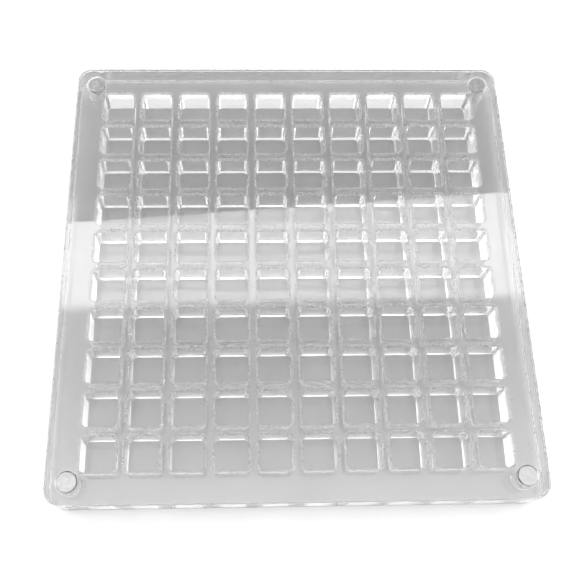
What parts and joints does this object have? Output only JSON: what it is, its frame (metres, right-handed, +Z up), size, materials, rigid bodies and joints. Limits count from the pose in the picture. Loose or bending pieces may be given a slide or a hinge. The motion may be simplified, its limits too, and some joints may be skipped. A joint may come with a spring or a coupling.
{
  "type": "compartment storage box",
  "caption": "Flat square box of clear acrylic with a grid of small open pockets, and a lift-off clear lid held by disc magnets at its corners.",
  "frame": {"origin": "centre of the underside of the bottom plate, on the table", "axes": "+Z up out of the lid, +X to the right, -Y towards the front edge"},
  "size_m": [0.25, 0.25, 0.0236],
  "materials": {
    "clear_acrylic": "clear cast acrylic sheet with polished faces and laser-cut edges",
    "nickel_plate": "satin nickel plating on a disc magnet"
  },
  "bodies": {
    "tray": {"bottom_plate": "clear_acrylic", "grid_plate_left": "clear_acrylic", "grid_plate_right": "clear_acrylic", "grid_magnet_front_left": "nickel_plate", "grid_magnet_front_right": "nickel_plate", "grid_magnet_rear_left": "nickel_plate", "grid_magnet_rear_right": "nickel_plate"},
    "lid": {"lid_plate": "clear_acrylic", "lid_magnet_front_left": "nickel_plate", "lid_magnet_front_right": "nickel_plate", "lid_magnet_rear_left": "nickel_plate", "lid_magnet_rear_right": "nickel_plate"}
  },
  "joints": [
    {"name": "lid_lift", "type": "slide", "parent": "tray", "child": "lid", "axis": [0, 0, 1], "range_m": [0, 0.06]}
  ]
}
